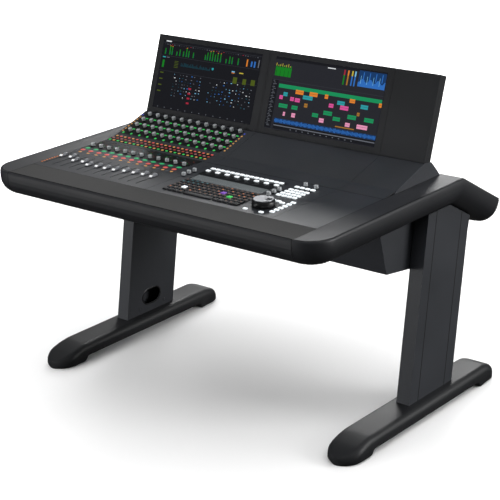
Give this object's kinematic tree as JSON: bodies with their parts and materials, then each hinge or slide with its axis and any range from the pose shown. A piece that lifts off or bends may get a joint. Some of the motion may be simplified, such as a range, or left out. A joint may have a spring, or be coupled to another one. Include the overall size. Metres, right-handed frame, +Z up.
{
  "type": "mixing console",
  "caption": "Large audio mixing desk on two T-shaped legs, with a fader bank, a keyboard section with a jog dial, and a row of tilted screens above sloping panels.",
  "frame": {"origin": "on the floor under the middle of the whole console, midway between its front and rear extremes", "axes": "+X to the right of someone seated at the console, -Y towards that person, +Z up"},
  "size_m": [1.267, 0.927, 1.0043],
  "materials": {
    "padded trim": "soft-touch moulded trim",
    "deck paint": "satin powder coat on folded steel",
    "powder coat": "fine-texture powder coat",
    "foot paint": "satin paint on cast metal",
    "black plastic": "moulded",
    "screen glass": "glossy screen cover",
    "key rubber": "translucent backlit keys",
    "knob metal": "satin aluminium",
    "circuit board": "solder mask"
  },
  "bodies": {
    "console": {"left_arm": "padded trim", "right_arm": "padded trim", "front_bolster": "padded trim", "palm_strip": "deck paint", "fader_deck": "deck paint", "editor_deck": "deck paint", "channel_panel": "deck paint", "middle_slope_panel": "deck paint", "end_panel": "deck paint", "monitor_bridge": "powder coat", "left_cheek": "powder coat", "right_cheek": "powder coat", "rear_hood": "powder coat", "monitor_frame": "powder coat", "chassis_tray": "powder coat", "power_supply": "powder coat", "left_column": "powder coat", "right_column": "powder coat", "left_column_cover": "powder coat", "right_column_cover": "powder coat", "left_foot": "foot paint", "right_foot": "foot paint", "typing_keyboard": "black plastic", "left_monitor": "black plastic", "right_monitor": "black plastic", "blank_monitor_panel": "black plastic", "power_inlet": "black plastic", "left_screen": "screen glass", "right_screen": "screen glass", "display_strip": "screen glass", "fader_keypad": "key rubber", "channel_keypad": "key rubber", "editor_keypad": "key rubber", "pan_encoders": "knob metal", "channel_encoders": "knob metal", "fader_circuit_board": "circuit board"},
    "fader_1": {"fader_1": "knob metal"},
    "fader_2": {"fader_2": "knob metal"},
    "fader_3": {"fader_3": "knob metal"},
    "fader_4": {"fader_4": "knob metal"},
    "fader_5": {"fader_5": "knob metal"},
    "fader_6": {"fader_6": "knob metal"},
    "fader_7": {"fader_7": "knob metal"},
    "fader_8": {"fader_8": "knob metal"},
    "fader_9": {"fader_9": "knob metal"},
    "fader_10": {"fader_10": "knob metal"},
    "fader_11": {"fader_11": "knob metal"},
    "fader_12": {"fader_12": "knob metal"},
    "editor_knob_1": {"editor_knob_1": "knob metal"},
    "editor_knob_2": {"editor_knob_2": "knob metal"},
    "editor_knob_3": {"editor_knob_3": "knob metal"},
    "editor_knob_4": {"editor_knob_4": "knob metal"},
    "editor_knob_5": {"editor_knob_5": "knob metal"},
    "editor_knob_6": {"editor_knob_6": "knob metal"},
    "editor_knob_7": {"editor_knob_7": "knob metal"},
    "editor_knob_8": {"editor_knob_8": "knob metal"},
    "search_dial": {"search_dial": "black plastic"},
    "transport_button_1": {"transport_button_1": "key rubber"},
    "transport_button_2": {"transport_button_2": "key rubber"},
    "transport_button_3": {"transport_button_3": "key rubber"}
  },
  "joints": [
    {"name": "fader_1_slide", "type": "slide", "parent": "console", "child": "fader_1", "axis": [0, 1, 0], "range_m": [-0.0757, 0.0243]},
    {"name": "fader_2_slide", "type": "slide", "parent": "console", "child": "fader_2", "axis": [0, 1, 0], "range_m": [-0.0809, 0.0191]},
    {"name": "fader_3_slide", "type": "slide", "parent": "console", "child": "fader_3", "axis": [0, 1, 0], "range_m": [-0.0581, 0.0419]},
    {"name": "fader_4_slide", "type": "slide", "parent": "console", "child": "fader_4", "axis": [0, 1, 0], "range_m": [-0.064, 0.036]},
    {"name": "fader_5_slide", "type": "slide", "parent": "console", "child": "fader_5", "axis": [0, 1, 0], "range_m": [-0.0482, 0.0518]},
    {"name": "fader_6_slide", "type": "slide", "parent": "console", "child": "fader_6", "axis": [0, 1, 0], "range_m": [-0.0531, 0.0469]},
    {"name": "fader_7_slide", "type": "slide", "parent": "console", "child": "fader_7", "axis": [0, 1, 0], "range_m": [-0.0526, 0.0474]},
    {"name": "fader_8_slide", "type": "slide", "parent": "console", "child": "fader_8", "axis": [0, 1, 0], "range_m": [-0.0553, 0.0447]},
    {"name": "fader_9_slide", "type": "slide", "parent": "console", "child": "fader_9", "axis": [0, 1, 0], "range_m": [-0.0642, 0.0358]},
    {"name": "fader_10_slide", "type": "slide", "parent": "console", "child": "fader_10", "axis": [0, 1, 0], "range_m": [-0.0676, 0.0324]},
    {"name": "fader_11_slide", "type": "slide", "parent": "console", "child": "fader_11", "axis": [0, 1, 0], "range_m": [-0.0703, 0.0297]},
    {"name": "fader_12_slide", "type": "slide", "parent": "console", "child": "fader_12", "axis": [0, 1, 0], "range_m": [-0.0683, 0.0317]},
    {"name": "editor_knob_1_turn", "type": "hinge", "parent": "console", "child": "editor_knob_1", "pos_m": [-0.07063, -0.1935, 0.708], "axis": [0, 0, 1], "continuous": true},
    {"name": "editor_knob_2_turn", "type": "hinge", "parent": "console", "child": "editor_knob_2", "pos_m": [-0.07183, -0.169, 0.708], "axis": [0, 0, 1], "continuous": true},
    {"name": "editor_knob_3_turn", "type": "hinge", "parent": "console", "child": "editor_knob_3", "pos_m": [-0.07063, -0.1445, 0.708], "axis": [0, 0, 1], "continuous": true},
    {"name": "editor_knob_4_turn", "type": "hinge", "parent": "console", "child": "editor_knob_4", "pos_m": [0.25897, -0.1997, 0.708], "axis": [0, 0, 1], "continuous": true},
    {"name": "editor_knob_5_turn", "type": "hinge", "parent": "console", "child": "editor_knob_5", "pos_m": [0.25897, -0.175, 0.708], "axis": [0, 0, 1], "continuous": true},
    {"name": "editor_knob_6_turn", "type": "hinge", "parent": "console", "child": "editor_knob_6", "pos_m": [0.25897, -0.1505, 0.708], "axis": [0, 0, 1], "continuous": true},
    {"name": "editor_knob_7_turn", "type": "hinge", "parent": "console", "child": "editor_knob_7", "pos_m": [0.29617, -0.0755, 0.708], "axis": [0, 0, 1], "continuous": true},
    {"name": "editor_knob_8_turn", "type": "hinge", "parent": "console", "child": "editor_knob_8", "pos_m": [0.33617, -0.078, 0.708], "axis": [0, 0, 1], "continuous": true},
    {"name": "search_dial_turn", "type": "hinge", "parent": "console", "child": "search_dial", "pos_m": [0.30747, -0.2815, 0.708], "axis": [0, 0, 1], "continuous": true},
    {"name": "transport_button_1_press", "type": "slide", "parent": "console", "child": "transport_button_1", "axis": [0, 0, -1], "range_m": [0, 0.002], "stiffness_N_per_m": 300, "springref_m": -0.003},
    {"name": "transport_button_2_press", "type": "slide", "parent": "console", "child": "transport_button_2", "axis": [0, 0, -1], "range_m": [0, 0.002], "stiffness_N_per_m": 300, "springref_m": -0.003},
    {"name": "transport_button_3_press", "type": "slide", "parent": "console", "child": "transport_button_3", "axis": [0, 0, -1], "range_m": [0, 0.002], "stiffness_N_per_m": 300, "springref_m": -0.003}
  ]
}
